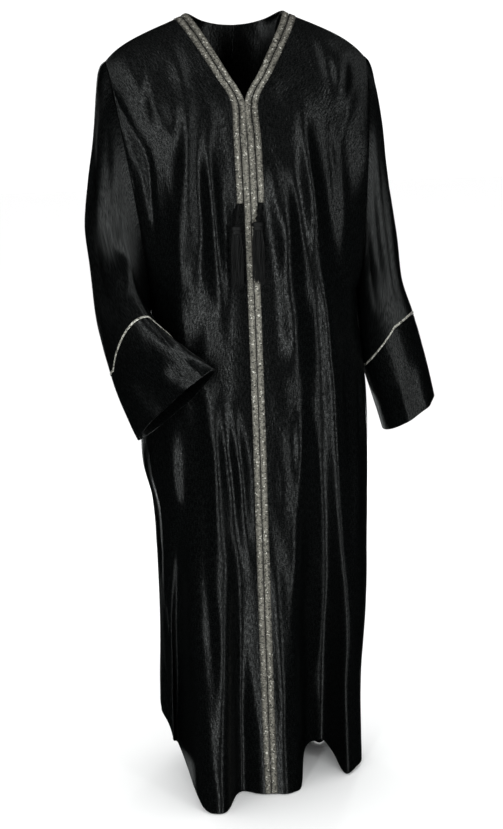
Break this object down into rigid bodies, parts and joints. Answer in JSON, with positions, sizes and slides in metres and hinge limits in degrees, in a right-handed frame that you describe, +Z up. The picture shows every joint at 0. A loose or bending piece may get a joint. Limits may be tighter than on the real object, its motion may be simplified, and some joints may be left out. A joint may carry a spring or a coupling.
{
  "type": "abaya",
  "caption": "Long loose black satin abaya, worn and hollow, one arm bent, with a V neck, wide sleeves, glitter braid down the front and two tassels.",
  "frame": {"origin": "midway between the two neck points, where the shoulder seams meet the neckline", "axes": "+Z up, the front faces -Y, the wearer's left is +X"},
  "size_m": [0.634, 0.3924, 1.4219],
  "materials": {
    "black_satin": "black satin-weave cloth with a soft sheen",
    "glitter_braid": "flat braid of dull silver glitter thread",
    "black_tassel": "black silky cord and fringe"
  },
  "bodies": {
    "root": {"front_right": "black_satin", "front_left": "black_satin", "back_right": "black_satin", "back_left": "black_satin", "sleeve_right_front": "black_satin", "sleeve_right_back": "black_satin", "sleeve_left_front": "black_satin", "sleeve_left_back": "black_satin", "cuff_right_front": "black_satin", "cuff_right_back": "black_satin", "cuff_left_front": "black_satin", "cuff_left_back": "black_satin", "piping_right": "glitter_braid", "piping_left": "glitter_braid", "braid_inner": "glitter_braid", "braid_outer": "glitter_braid", "tassel_cord_right": "black_tassel", "tassel_cord_left": "black_tassel", "tassel_right": "black_tassel", "tassel_left": "black_tassel"}
  },
  "joints": []
}
